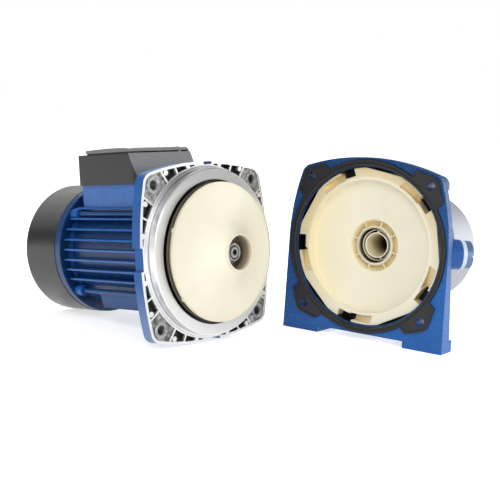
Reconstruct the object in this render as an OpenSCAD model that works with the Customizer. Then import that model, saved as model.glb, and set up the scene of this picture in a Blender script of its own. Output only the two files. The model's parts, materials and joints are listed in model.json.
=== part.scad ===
/* [Placement] */
// Height of the pump axis over the soles of the casing feet
axis_h = 93; // [92:0.5:120]
// Distance from the casing face back to the foot bolt holes
foot_back = 33; // [25:1:38]
// How far the opened motor unit stands to the left of the casing axis
motor_left = 100.9; // [90:0.1:200]
// How far the opened motor unit stands in front of the casing face
motor_front = 120.8; // [110:0.1:200]
// Heading of the motor axis, turned from the row's X axis
motor_yaw = -7.5; // [-20:0.1:0]
// Lean of the motor unit about its own axis as it rests on its bulged edge
motor_roll = 2.3; // [0:0.1:4]

/* [Fits] */
// Gap left between pieces that are seated or pressed together
fit_gap = 0.05; // [0.02:0.01:0.1]
// Gap left around threads, all of which are drawn as plain shanks
thread_gap = 0.08; // [0.02:0.01:0.1]
// Gap left between curved pieces that move past each other
run_gap = 0.3; // [0.25:0.05:0.5]

/* [Flanges and bolts] */
// Half the height of the casing plate at its middle
plate_half = 87.5; // [86:0.5:95]
// Radius of the bulged sides of the casing plate
plate_bulge_r = 215; // [205:5:400]
// Half the height of the motor flange at its middle
flange_half = 84.5; // [84:0.5:86]
// Radius of the bulged sides of the motor flange
flange_bulge_r = 300; // [280:5:330]
// Half the side of the square on which the four flange bolts sit
bolt_half = 65; // [64:0.5:68]
// Radius of the clearance holes for the flange bolts
bolt_hole_r = 4.5; // [4:0.1:5]

/* [Casing] */
// Thickness of the casing plate
plate_t = 9; // [7:0.5:14]
// Thickness of the legs at the floor
leg_t = 17; // [15:0.5:22]
// Half the distance over the outer edges of the feet
foot_half = 88.5; // [88:0.5:100]
// Half the distance between the feet
foot_inner = 47.5; // [40:0.5:52]
// Height of the arch between the feet
arch_h = 6.5; // [5.5:0.5:7]
// Height of the foot pads
foot_h = 11; // [8:1:14]
// Depth of the lip along the back of each foot
foot_lip = 23; // [18:1:28]
// Length of the foot pads from the casing face
pad_len = 48; // [42:1:60]
// Width of the foot pads
pad_w = 22; // [18:1:30]
// Radius of the foot bolt holes
foot_hole_r = 4.5; // [3:0.1:5]
// Outer radius of the front part of the round dish
dish_r = 82.5; // [82:0.1:86]
// Depth of that front part behind the casing face
dish_step = 23; // [22:0.5:26]
// Outer radius of the rear part of the dish
dish_rear_r = 76.2; // [75.8:0.1:78]
// Depth of the dish housing behind the casing face
dish_depth = 42; // [40:1:50]
// Radius of the bore that takes the diffuser
dish_bore_r = 78.2; // [77:0.1:79]
// Depth of the ledge that carries the diffuser
ledge_depth = 16; // [14:0.5:18]
// Radius of the dish behind the ledge
back_bore_r = 71.2; // [70.5:0.1:72]
// Thickness of the rear wall of the dish
rear_wall = 6; // [5:0.5:8]
// Radius of the passage through the rear wall
passage_r = 45; // [35:1:46]
// Depth of the bosses behind the flange bolt holes
bolt_boss_depth = 20; // [15:1:24]
// Radius of the bosses behind the flange bolt holes
bolt_boss_r = 10; // [8:0.5:11]
// Radius of the tapped flange bolt holes
bolt_tap_r = 4; // [3.4:0.1:4.2]

/* [Gauge boss] */
// Direction of the gauge boss, turned back from the side of the casing
gauge_turn = 45; // [40:1:50]
// Distance of the boss root from the pump axis
gauge_side = 70; // [69:0.5:72]
// Depth of the boss root behind the casing face
gauge_depth = 20; // [19:0.5:22]
// Radius of the gauge boss
gauge_boss_r = 14.5; // [13:0.5:15]
// Length of the gauge boss from its root
gauge_boss_len = 19; // [18:0.5:30]
// Thickness of the washer under the gauge plug
gauge_washer_t = 4; // [2:0.5:5]
// Thickness of the gauge plug head
gauge_head_t = 6.5; // [5:0.5:9]
// Radius of the gauge plug thread
gauge_thread_r = 6.5; // [5:0.1:8]

/* [Gasket] */
// Outer radius of the gasket ring
gasket_out_r = 85.2; // [84.5:0.1:85.4]
// Inner radius of the gasket ring
gasket_in_r = 79.4; // [79:0.1:81]
// Depth of the gasket seat in the casing face
gasket_seat = 2.4; // [1.5:0.1:3]
// Height of the gasket ring over the casing face
gasket_proud = 0.8; // [0.5:0.1:1.2]
// Height of each ridge and of the ears over the casing face
gasket_ridge = 1.6; // [1.4:0.1:2.2]
// Height of the lip round each ear
gasket_lip = 2.3; // [2:0.1:3]

/* [Diffuser] */
// Depth of the diffuser rim behind the casing face
rim_depth = 4; // [3:0.5:6]
// Inner radius of the raised rim
rim_in_r = 66; // [65.5:0.1:68]
// Depth of the dish at the foot of the rim
dish_edge_depth = 12.5; // [11:0.5:13]
// Depth of the dish at the hub
dish_hub_depth = 19.5; // [18:0.5:22]
// Thickness of the diffuser dish
diffuser_t = 3.5; // [2.5:0.1:4]
// Outer radius of the pocket ring around the hub
pocket_r = 26; // [24:0.5:28]
// Depth of the pocket ring
pocket_depth = 27; // [25:0.5:29]
// Number of guide vanes and of outlet notches
vanes = 5; // [4:1:6]
// Distance of an outlet notch's foot from the pump axis
notch_in_r = 70; // [69:0.5:72]
// Angle of the first notch from the side of the casing
notch_turn = 39; // [20:0.5:45]
// Width of an outlet notch
notch_w = 16.5; // [12:0.5:20]
// Number of ribs across the pocket ring
hub_ribs = 8; // [6:1:12]

/* [Wear ring and ejector] */
// Outer radius of the wear ring
wear_out_r = 18.4; // [18.4:0.1:19]
// Inner radius of the wear ring
wear_in_r = 17.3; // [17.2:0.1:17.6]
// Length of the wear ring
wear_len = 14.6; // [10:0.1:15]
// Outer radius of the venturi tube
venturi_r = 12.8; // [12:0.1:13]
// Bore of the venturi tube at its mouth, as a radius
venturi_mouth_r = 11.7; // [10:0.1:11.7]
// Bore of the venturi tube at its throat, as a radius
throat_r = 6.5; // [5:0.1:8]
// Outer radius of the sleeve that stands inside the impeller eye
sleeve_r = 15.6; // [15:0.1:15.6]
// Depth of the front end of that sleeve and of the venturi tube
sleeve_depth = 25.2; // [22:0.1:28]
// Length of the venturi tube
venturi_len = 80; // [75:1:81]
// Radius of the nozzle bore
nozzle_bore_r = 3.5; // [2:0.1:4]
// Radius of the nozzle body
nozzle_r = 9; // [8:0.5:12]

/* [Priming tank] */
// Outer radius of the priming tank
tank_r = 58; // [56:0.1:58]
// How far the tank's axis lies under the pump axis
tank_drop = 8; // [7:0.5:8]
// Wall of the priming tank
tank_wall = 3; // [2.5:0.1:4]
// Length of the priming tank behind the dish housing
tank_len = 104; // [100:1:115]
// Radius of the tank's rounded rear edge
tank_round = 8; // [6:0.5:12]
// How far the tank flange stands out from the tank
tank_flange_w = 14.4; // [14:0.1:15]
// Thickness of the tank flange
tank_flange_t = 6; // [5:0.5:8]
// Number of tank bolts
tank_bolts_n = 6; // [6:6:12]
// Distance of the tank bolts' centres from the tank's outside
tank_bolt_out = 9.2; // [9:0.1:9.6]
// Bore of the one-inch ports, as a radius
port_r = 15.15; // [14:0.05:16]
// Outer radius of the suction and discharge bosses
port_boss_r = 23; // [21:0.5:25]
// Length of the suction boss behind the tank
suction_len = 14; // [12:1:24]
// Height of the discharge boss over the pump axis
discharge_h = 70; // [66:0.5:80]
// Distance of the discharge port behind the casing face
discharge_back = 108; // [104:1:112]
// Distance of the filler behind the casing face
filler_back = 66; // [64:1:68]
// Radius of the filler thread
filler_thread_r = 9.5; // [8:0.1:10.5]
// Height of the filler boss over the pump axis
filler_h = 66; // [64:0.5:72]
// Radius of the drain thread
drain_thread_r = 5.75; // [4:0.05:7]
// Distance of the drain below the pump axis
drain_low = 37; // [35:0.5:38]

/* [Motor bracket] */
// Thickness of the flange
flange_t = 11; // [10:0.5:16]
// Depth of the cast pockets in the flange
flange_pocket = 8; // [6:0.5:8.5]
// Width of the machined border round the flange
border_w = 2.6; // [2:0.1:4]
// Thickness of the ribs between the pockets
rib_t = 1.7; // [1.2:0.1:2.5]
// Radius of the machined spigot
spigot_r = 77.8; // [76.8:0.1:78]
// Radius of the step at the foot of the spigot
spigot_base_r = 80.2; // [79.2:0.1:80.8]
// Height of the spigot over the flange face
spigot_h = 10.5; // [9:0.5:12]
// Radius of the recess for the impeller
recess_r = 67.4; // [67:0.1:69]
// Height of the recess floor over the flange face
recess_floor = 8; // [6:0.5:8.5]
// Width of the notches in the flange edge
flange_notch_w = 21; // [16:0.5:24]
// Depth of the notches in the flange edge
flange_notch_d = 3; // [2.5:0.1:3.5]
// Radius of the bearing and seal hub
hub_r = 24; // [22:0.5:28]

/* [Motor housing] */
// Inner radius of the housing barrel
barrel_in_r = 49.05; // [48:0.05:52]
// Wall of the housing barrel
barrel_wall = 3.4; // [3:0.1:4.5]
// Length of the housing from the flange to the rear shield
housing_len = 130; // [128:0.5:140]
// Radius that the fin tips reach
fin_r = 61; // [60.5:0.5:64]
// Thickness of a cooling fin
fin_t = 1.8; // [1.2:0.1:2.5]
// Distance from one cooling fin to the next
fin_step = 9.9; // [9.7:0.1:10.2]
// Height of the middle fin over the motor axis
fin_rise = 4; // [3.5:0.1:4.5]
// Half the width of the pedestal under the terminal box
pedestal_half = 38; // [36:0.5:39]
// Height of the pedestal over the motor axis
pedestal_h = 66; // [63:0.5:70]
// Half the width of the block under the barrel
base_block_half = 36; // [30:1:39]
// Depth of the block under the motor axis
base_block_h = 55.5; // [54:0.5:57]
// Radius of the tie rods
tie_r = 2.5; // [2:0.1:3]
// Sideways distance of the tie rods from the motor axis
tie_side = 43.8; // [43.5:0.1:44.5]
// Height of the tie rods over and under the motor axis
tie_up = 38; // [37.8:0.1:38.2]

/* [Fan end] */
// Outer radius of the fan cover
cover_r = 65.5; // [65.3:0.1:68]
// Wall of the fan cover
cover_wall = 2.5; // [2:0.1:3]
// Length of the fan cover
cover_len = 49; // [42:0.5:55]
// Radius of the fan cover's rounded rear edge
cover_round = 4; // [3.5:0.5:8]
// Thickness of the rear shield's disc
shield_t = 8; // [6:0.5:9]
// Radius of the fan blades
fan_r = 57; // [50:0.5:59]
// Number of fan blades
fan_blades = 6; // [5:1:9]

/* [Terminal box] */
// Half the width of the terminal box
box_half = 41; // [40:0.5:43]
// Height of the terminal box base
box_h = 29.5; // [28:0.5:31]
// Wall of the terminal box
box_wall = 3; // [2.5:0.1:4]
// Distance of the box's rear wall behind the flange face
box_back = 133; // [132:0.5:135]
// Distance of the box's front wall behind the flange face
box_front = 46; // [45:0.5:50]
// How far the box's front wall leans back from its foot to its top
box_lean = 13; // [10:0.5:14]
// Radius of the box's front corners
box_round = 9; // [6:0.5:12]
// Thickness of the lid at its rear edge
lid_t = 3; // [2.8:0.1:4]
// Distance from the rear wall of the box to the lid
lid_back = 12; // [9:0.5:14]
// Radius of the hole in the cable seal
cable_r = 4.5; // [3:0.1:6]

/* [Motor core] */
// Inner radius of the stator
stator_in_r = 31; // [29:0.05:33]
// Length of the stator and rotor stacks
stack_len = 70; // [50:1:72]
// Distance of the stacks behind the flange face
stack_back = 42; // [40:1:46]
// Air gap between stator and rotor
air_gap = 0.35; // [0.25:0.05:0.6]
// Number of stator slots
slots = 24; // [12:12:24]

/* [Bearings and shaft] */
// Bore radius of the ball bearings
bearing_in_r = 7.5; // [7:0.5:8]
// Outer radius of the ball bearings
bearing_out_r = 17.5; // [17:0.5:18]
// Width of the ball bearings
bearing_w = 11; // [9:0.5:12]
// Radius of the bearing balls
ball_r = 2.9; // [2.4:0.1:3]
// Number of balls in a bearing
balls = 8; // [6:1:9]
// Distance of the front bearing behind the flange face
front_bearing = 20; // [19:0.5:22]
// Distance of the rear bearing behind the flange face
rear_bearing = 127; // [126:0.5:128]
// Radius of the shaft ends
shaft_end_r = 6; // [5:0.1:6.5]
// Radius of the shaft in the rotor
shaft_core_r = 8.5; // [8:0.1:10]

/* [Impeller] */
// Radius of the impeller
impeller_r = 65; // [60:0.5:66]
// Height of the impeller's back over the flange face
impeller_back = 11.5; // [10.5:0.1:12]
// Thickness of the shrouds at the rim
shroud_t = 2.5; // [2:0.1:3]
// Width of the outlet between the shrouds
outlet_w = 3; // [2:0.1:5]
// Rise of the front shroud from the rim to the neck
shroud_rise = 18; // [15:0.5:18.5]
// Outer radius of the impeller neck
neck_r = 17; // [16.8:0.1:17]
// Inner radius of the impeller eye
eye_r = 15.9; // [15.9:0.1:16]
// Length of the straight neck
neck_len = 3.5; // [2:0.5:5]
// Number of impeller vanes
impeller_vanes = 6; // [5:1:8]

/* [Hidden] */
$fn = 72;
// Sharing of the shroud's rise: a straight part, and a steep part near the neck
straight_share = 0.29;
steep_share = 1 - straight_share;
trumpet_power = 4;
trumpet_steps = 14;
// Extra length of every cut
cut = 1;
// Finer circles for the wide bulged sides
bulge_fn = 360;
// How far the corner circles of an outline reach over its sides
corner_overlap = 0.05;

// Centre of the circle that makes each bulged side of the motor flange
flange_centre = flange_bulge_r - flange_half;

// Resting pose of the motor unit: on the flange's rear lower edge and the cover's rear end
shield_front = flange_t + housing_len;
shield_back = shield_front + shield_t;
cover_end = shield_back + cover_len;
flange_drop = flange_bulge_r - flange_centre * cos(motor_roll);
motor_pitch = atan((flange_drop - cover_r) / (cover_end - flange_t));
motor_h = flange_drop * cos(motor_pitch) + flange_t * sin(motor_pitch);

// Fastener sizes
m6_r = 3;
m6_head_r = 5;
m6_head_h = 4;
m4_r = 2;
m4_head_r = 3.6;
m4_head_h = 2.4;

// Casing details
casing_tap_depth = dish_depth - rear_wall;
pad_out = foot_inner + pad_w;
foot_hole_x = foot_inner + pad_w / 2;
plug_slot_w = 2;
plug_slot_d = 2;
gauge_washer_inset = 0.5;
gauge_head_inset = 1;
gauge_thread_len = 12;

// Gasket details
ridge_w = 1;
ridge_slope = 0.5;
ear_inset = 3;
ear_half = 20;
ear_start = 80;
ear_t = 1.3;
ear_lip_w = 1.5;
ear_bite = 0.6;
ear_hole_r = 4.4;

// Diffuser details
diffuser_gap = 0.4;
diffuser_r = dish_bore_r - diffuser_gap;
diffuser_seat = ledge_depth - fit_gap;
hub_sleeve_r = 19.7;
hub_tube_r = 20.6;
hub_tube_len = 44;
hub_floor_t = 3;
pocket_floor_t = 3;
wear_seat = 35.2;
channel_depth = 37;
sleeve_wall = 0.7;
pocket_slope = 3.5;
wear_front = wear_seat - wear_len;
rib_w = 1.2;
rib_drop = 1.5;
rib_turn = 31;
ramp_in_r = 68.5;
ramp_out_r = 76;
ramp_span = 23;
ramp_slope = 17;
ramp_depth = 9;
slit_turn = 42;
slit_depth = 2.4;

// Ejector details
venturi_front = sleeve_depth;
venturi_end = venturi_front + venturi_len;
venturi_flange_t = 4;
lug_turn_high = 87;
lug_turn_low = -67;
tube_lug_w = 1.8;
tube_lug_t = 2.5;
tube_lug_reach = 1.7;
throat_start_share = 0.8;
throat_end_share = 0.92;
inlet_flare_r = 9;
chamber_r = 24;
chamber_wall = 3;
tank_back = dish_depth + tank_len;
chamber_start = venturi_end - venturi_flange_t;
nozzle_tip_gap = 3;
nozzle_cone_len = 11;
nozzle_body_len = 12;
nozzle_tip_r = 5.5;
nozzle_tip = venturi_end + nozzle_tip_gap;
nozzle_mid = nozzle_tip + nozzle_cone_len;
nozzle_back = nozzle_mid + nozzle_body_len;
feed_r = 6;
feed_bore_r = 4;
feed_back = (nozzle_mid + nozzle_back) / 2;

// Tank details
tank_flange_r = tank_r + tank_flange_w;
tank_bolt_circle = tank_r + tank_bolt_out;
tank_land = 1.6;
bore_low = tank_r - tank_drop - 2 * tank_wall;
seal_wire_r = 1.1;
seal_groove_w = 3.2;
seal_groove_d = 2 * seal_wire_r + fit_gap;
seal_groove_r = tank_r + 1.5 * seal_wire_r;
filler_boss_r = 13.5;
filler_flange_r = 15;
filler_flange_t = 3;
filler_head_h = 5;
filler_head_r = 11;
filler_plug_len = 12;
filler_seal_t = 1.5;
drain_boss_r = 10;
drain_boss_len = 6;
drain_seal_t = 1.5;
drain_head_r = 8.5;
drain_head_h = 6;
drain_plug_len = 10;

// Bracket details
groove_w = 1.2;
groove_d = 0.8;
spigot_step = 2.4;
spigot_chamfer = 0.8;
corner_recess = 1.5;
corner_boss_r = 7.6;
cast_boss_r = 2.5;
cast_boss_reach = 83.4;
cast_boss_turn = 14.5;
corner_ribs_turn = 35.5;
middle_ribs_turn = 25;
notch_ribs_turn = 8;
corner_cast_reach = 90;
corner_cast_turn = 33;
winding_well_r = 47;
winding_well = 6;
seal_chamber_r = 18;
seal_chamber_back = 8;
seat_pocket_r = 14.5;
seat_pocket_back = 14;
shaft_hole_r = 8.3;
hub_back = front_bearing + bearing_w + 3;
tie_thread_front = 3;

// Seal details
seat_in_r = 6.6;
seat_ring_r = 12.4;
seal_face_z = -7;
head_r = 15;
head_in_r = shaft_end_r + fit_gap;
head_face_r = 11.5;
head_face_t = 3;

// Housing details
barrel_r = barrel_in_r + barrel_wall;
collar_h = 1.8;
collar_w = 7;
fins_over = 4;
fins_under = 3;
fin_front_gap = 1.5;
pedestal_low = 40;
lug_r = 5.5;
lug_len = 9;
tie_gap = 0.2;
base_block_front = 20;
base_block_back = 118;
base_block_slope = 5;
base_block_low = 42;
lead_hole_r = 4;
lead_hole_back = 117.5;

// Shield and cover details
shield_rim_gap = 0.4;
shield_r = cover_r - shield_rim_gap;
cover_in_r = cover_r - cover_wall;
shield_spigot_len = 6;
shield_spigot_w = 1.1;
shield_hub_r = 23;
shield_hub_front = rear_bearing - 0.5 * fit_gap;
locating_w = 2;
locating_len = 4;
spring_t = 1.1;
grille_rings = 4;
grille_first_r = 13;
grille_slot = 5;
grille_step = 9.5;
grille_spokes = 4;
grille_spoke_w = 5;
fan_hub_r = 13;
fan_front = 161;
fan_disc_t = 3;
fan_disc_r = 50;
fan_back = 184;
blade_t = 2.2;
clip_t = 1.2;
clip_r = 9;

// Terminal box details
box_gasket_t = 1.2;
box_low = pedestal_h;
box_top = box_low + box_h;
lid_crown = 1;
lid_crown_run = 30;
lid_front = box_front + box_lean + box_gasket_t;
lid_lip = 0.8;
screw_inset = 7;
post_r = 5;
block_w = 34;
block_h = 13;
block_len = 16;
block_side = -17;
block_back = 92;
stud_step = 11;
stud_r = 1.8;
stud_h = 6;
cap_r = 12.3;
cap_len = 46;
cap_side = 15;
cap_back = 110;
gland_back = 92;
gland_r = 10.5;
gland_thread_r = 8;
gland_flange_t = 6;
gland_nut_t = 12;
gland_nut_r = 11;
gland_seal_r = 7;

// Core details
slot_in_r = 33;
slot_depth = 10.5;
slot_w = 4.2;
slot_mouth_w = 1.6;
coil_gap = 0.12;
coil_end_len = 11;
end_ring_r = 29.5;
end_ring_in_r = 19;
end_ring_len = 6;
shaft_front = 34;
shaft_back = 186;
shaft_step_gap = 0.2;
pitch_r = (bearing_in_r + bearing_out_r) / 2;
race_gap = 0.25;
race_half = 1.9;
shaft_seal_start = 14;

// Impeller details
rim_front = impeller_back + 2 * shroud_t + outlet_w;
neck_front = rim_front + shroud_rise;
throat_low = 27.5;
hub_front = 22;
impeller_hub_r = 11;
key_w = 4;
key_len = 8.5;
key_back = 12.5;
key_low = 4.2;
key_high = 7.8;
washer_t = 1.5;
washer_r = 9.5;
nut_t = 10;
nut_r = 9.4;
nut_collar_r = 8;
nut_collar_t = 2.5;
lock_ring_r = 6.7;
lock_ring_t = 2;
lock_ring_drop = 0.4;
nut_shaft_r = 5;
centre_hole_r = 1.6;
centre_hole_d = 4;
vane_in_r = 24;
vane_t = 2;
vane_curve_r = 42;
vane_shift = 38;
shroud_bite = 0.6;

// Puts a casing piece, drawn with Z towards its open side, in its place on the feet
module at_casing() {
    translate([0, -foot_back, axis_h]) rotate([90, 0, 0]) children();
}

// Puts a motor piece, drawn with Z towards the impeller, where the opened unit rests
module at_motor() {
    translate([-motor_left, -foot_back - motor_front, motor_h])
        rotate([motor_roll, -motor_pitch, motor_yaw])
            rotate([90, 0, 90]) children();
}

// A round disc about the axis, from low to high
module disc(r, low, high) {
    translate([0, 0, low]) cylinder(r = r, h = high - low);
}

// A round tube about the axis, from low to high
module tube(out_r, in_r, low, high) {
    difference() {
        disc(out_r, low, high);
        disc(in_r, low - cut, high + cut);
    }
}

// Places a piece at each corner of a rectangle
module at_corners(side, up) {
    for (sx = [-1, 1], sy = [-1, 1]) translate([sx * side, sy * up, 0]) children();
}

// Places copies round the axis
module around(count, turn = 0) {
    for (i = [0 : count - 1]) rotate(turn + i * 360 / count) children();
}

// The rounded square with bulged sides, set in by a margin
module bulged_square(half, bulge, inset = 0) {
    centre = bulge - half;
    reach = sqrt(pow(bolt_half, 2) + pow(bolt_half + centre, 2));
    corner_r = bulge - reach;
    clip = 2 * bolt_half + (corner_r - inset) * (2 * bolt_half + centre) / reach;
    intersection() {
        translate([0, -centre]) circle(r = bulge - inset, $fn = bulge_fn);
        translate([centre, 0]) circle(r = bulge - inset, $fn = bulge_fn);
        translate([0, centre]) circle(r = bulge - inset, $fn = bulge_fn);
        translate([-centre, 0]) circle(r = bulge - inset, $fn = bulge_fn);
        rotate(45) square(clip * sqrt(2), center = true);
    }
    for (sx = [-1, 1], sy = [-1, 1])
        translate([sx * bolt_half, sy * bolt_half]) circle(r = corner_r - inset + corner_overlap);
}

// A wedge-shaped outline from the centre between two angles
module sector(from, to, reach) {
    polygon([[0, 0], [reach * cos(from), reach * sin(from)],
        [reach * cos((from + to) / 2), reach * sin((from + to) / 2)],
        [reach * cos(to), reach * sin(to)]]);
}

// Extrudes an outline drawn as (up, along the axis) across the piece
module across(width) {
    rotate([90, 0, 90]) translate([0, 0, -width / 2]) linear_extrude(width) children();
}

// Extrudes an outline drawn as (sideways, along the axis) upwards from low to high
module upwards(low, high) {
    translate([0, high, 0]) rotate([90, 0, 0]) linear_extrude(high - low) children();
}

// Front outline of the casing plate with its legs and the arch between them
module casing_outline() {
    difference() {
        union() {
            bulged_square(plate_half, plate_bulge_r);
            polygon([[-plate_half, 0], [plate_half, 0], [foot_half, -axis_h], [-foot_half, -axis_h]]);
        }
        translate([-foot_inner, -axis_h - cut]) square([2 * foot_inner, arch_h + cut]);
    }
}

// Side outline of a leg, thicker towards the floor, with the lip of its foot
module leg_outline() {
    polygon([[0, 0], [0, -plate_t], [-axis_h + foot_h, -leg_t], [-axis_h + foot_h, -foot_lip],
        [-axis_h, -foot_lip], [-axis_h, 0]]);
}

// Stands on the line of the gauge boss, with Z pointing out of the casing
module at_gauge() {
    translate([gauge_side, 0, -gauge_depth]) rotate([0, 90 + gauge_turn, 0]) children();
}

module pump_casing() {
    color("royalblue") at_casing() difference() {
        union() {
            translate([0, 0, -plate_t]) linear_extrude(plate_t) casing_outline();
            intersection() {
                translate([0, 0, -foot_lip]) linear_extrude(foot_lip) difference() {
                    casing_outline();
                    translate([-foot_inner, -axis_h - cut]) square([2 * foot_inner, axis_h + cut]);
                }
                across(2 * foot_half) leg_outline();
            }
            for (side = [-1, 1]) translate([side * foot_hole_x - pad_w / 2, -axis_h, -pad_len])
                cube([pad_w, foot_h, pad_len]);
            disc(dish_r, -dish_step, 0);
            disc(dish_rear_r, -dish_depth, 0);
            translate([0, -tank_drop, 0]) disc(tank_flange_r + tank_land, -dish_depth, -plate_t);
            at_corners(bolt_half, bolt_half) disc(bolt_boss_r, -bolt_boss_depth, 0);
            at_gauge() disc(gauge_boss_r, 0, gauge_boss_len);
        }
        disc(gasket_out_r + diffuser_gap, -gasket_seat, cut);
        disc(dish_bore_r, -ledge_depth, 0);
        disc(back_bore_r, -dish_depth + rear_wall, 0);
        disc(passage_r, -dish_depth - cut, 0);
        at_corners(bolt_half, bolt_half) disc(bolt_tap_r, -bolt_boss_depth - cut, cut);
        at_tank_bolts() disc(m6_r + thread_gap, -dish_depth - cut, -casing_tap_depth + cut);
        for (side = [-1, 1]) translate([side * foot_hole_x, -axis_h - cut, -foot_back])
            rotate([-90, 0, 0]) cylinder(r = foot_hole_r, h = foot_h + 2 * cut);
        at_gauge() disc(gauge_thread_r + thread_gap, -cut, gauge_boss_len + cut);
        at_gauge() disc(gauge_boss_r, gauge_boss_len, gauge_boss_len + gauge_washer_t);
    }
}

// The outline of one gasket ear, set in by a margin
module ear_outline(inset) {
    intersection() {
        bulged_square(plate_half, plate_bulge_r, ear_inset + inset);
        rotate(45) translate([ear_start, -ear_half + inset])
            square([ear_start, 2 * (ear_half - inset)]);
    }
}

module casing_gasket() {
    top = gasket_proud;
    ridge = gasket_ridge;
    first = gasket_in_r + ridge_w;
    last = gasket_out_r - 2 * ridge_w;
    color("dimgray") at_casing() {
        difference() {
            union() {
                rotate_extrude() polygon([
                    [gasket_in_r, -gasket_seat], [gasket_out_r, -gasket_seat], [gasket_out_r, ridge],
                    [last, ridge], [last - ridge_slope, top],
                    [first + ridge_w + ridge_slope, top], [first + ridge_w, ridge], [first, ridge],
                    [gasket_in_r, -gasket_proud]]);
                around(4) difference() {
                    union() {
                        linear_extrude(ear_t) ear_outline(0);
                        linear_extrude(gasket_lip) difference() {
                            ear_outline(0);
                            ear_outline(ear_lip_w);
                        }
                    }
                    disc(gasket_out_r - ear_bite, -cut, gasket_lip + cut);
                }
            }
            at_corners(bolt_half, bolt_half) disc(ear_hole_r, -cut, gasket_lip + cut);
        }
    }
}

// Half section of the diffuser dish, hub and rim
module diffuser_section() {
    back = dish_hub_depth + diffuser_t;
    polygon([
        [diffuser_r, -rim_depth], [rim_in_r, -rim_depth], [rim_in_r, -dish_edge_depth],
        [pocket_r, -dish_hub_depth], [pocket_r - pocket_slope, -pocket_depth], [hub_sleeve_r, -pocket_depth],
        [hub_sleeve_r, -wear_front - fit_gap], [wear_out_r + fit_gap, -wear_front - fit_gap],
        [wear_out_r + fit_gap, -wear_seat], [wear_in_r, -wear_seat], [wear_in_r, -channel_depth],
        [sleeve_r, -channel_depth], [sleeve_r, -sleeve_depth], [sleeve_r - sleeve_wall, -sleeve_depth],
        [sleeve_r - sleeve_wall, -hub_tube_len + hub_floor_t],
        [venturi_r + fit_gap, -hub_tube_len + hub_floor_t],
        [venturi_r + fit_gap, -hub_tube_len], [hub_tube_r, -hub_tube_len],
        [hub_tube_r, -pocket_depth - pocket_floor_t],
        [pocket_r + pocket_floor_t, -pocket_depth - pocket_floor_t], [pocket_r + pocket_floor_t, -back],
        [rim_in_r, -diffuser_seat], [diffuser_r, -diffuser_seat]]);
}

module diffuser() {
    color("wheat") at_casing() {
        difference() {
            rotate_extrude() diffuser_section();
            around(vanes, notch_turn) {
                translate([notch_in_r, -notch_w / 2, -ledge_depth - cut])
                    cube([diffuser_r, notch_w, ledge_depth + cut]);
                intersection() {
                    tube(ramp_out_r, ramp_in_r, -ramp_depth - rim_depth, 0);
                    translate([0, notch_w / 2 - cut, -rim_depth - ramp_depth])
                        rotate([ramp_slope, 0, 0]) cube([ramp_out_r + cut, ramp_span, 2 * ramp_depth]);
                }
                rotate(slit_turn) translate([diffuser_r - slit_depth, -rim_in_r / 2, -ledge_depth - cut])
                    cube([diffuser_r, rim_in_r, ledge_depth + cut]);
            }
        }
        around(hub_ribs, rib_turn)
            translate([hub_sleeve_r - fit_gap, -rib_w / 2, -pocket_depth])
                cube([pocket_r - hub_sleeve_r + 2 * fit_gap, rib_w,
                    pocket_depth - dish_hub_depth - rib_drop]);
    }
}

module wear_ring() {
    color("silver") at_casing() tube(wear_out_r, wear_in_r, -wear_seat + fit_gap, -wear_front + fit_gap);
}

module venturi_tube() {
    throat_start = venturi_front + throat_start_share * venturi_len;
    throat_end = venturi_front + throat_end_share * venturi_len;
    color("wheat") at_casing() {
        rotate_extrude() polygon([
            [venturi_mouth_r, -venturi_front], [venturi_r, -venturi_front], [venturi_r, -chamber_start],
            [chamber_r - fit_gap, -chamber_start], [chamber_r - fit_gap, -venturi_end],
            [inlet_flare_r, -venturi_end], [throat_r, -throat_end], [throat_r, -throat_start]]);
        for (turn = [lug_turn_high, lug_turn_low]) rotate(turn)
            translate([venturi_r - tube_lug_reach / 4, -tube_lug_w / 2, -venturi_front - tube_lug_t])
                cube([tube_lug_reach, tube_lug_w, tube_lug_t - fit_gap]);
    }
}

module ejector_nozzle() {
    reach = chamber_r + chamber_wall;
    color("wheat") at_casing() difference() {
        union() {
            rotate_extrude() polygon([
                [0, -nozzle_tip], [nozzle_tip_r, -nozzle_tip], [nozzle_r, -nozzle_mid],
                [nozzle_r, -nozzle_back], [0, -nozzle_back]]);
            translate([0, 0, -feed_back]) rotate([0, 90, 0]) cylinder(r = feed_r, h = reach);
        }
        disc(nozzle_bore_r, -feed_back, -nozzle_tip + cut);
        translate([0, 0, -feed_back]) rotate([0, 90, 0]) cylinder(r = feed_bore_r, h = reach + cut);
    }
}

// Half section of the tank shell, grown or shrunk by a wall
// Places things on the six tank bolts
module at_tank_bolts() {
    translate([0, -tank_drop, 0]) around(tank_bolts_n) translate([tank_bolt_circle, 0, 0]) children();
}

module tank_section(wall) {
    inner = tank_round - wall;
    flat = tank_r - tank_round;
    square_low = -tank_back + tank_round;
    translate([0, square_low]) square([tank_r - wall, tank_len - tank_round + (wall > 0 ? cut : 0)]);
    translate([0, -tank_back + wall]) square([flat, tank_len - wall]);
    translate([flat, square_low]) circle(r = inner);
}

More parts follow.
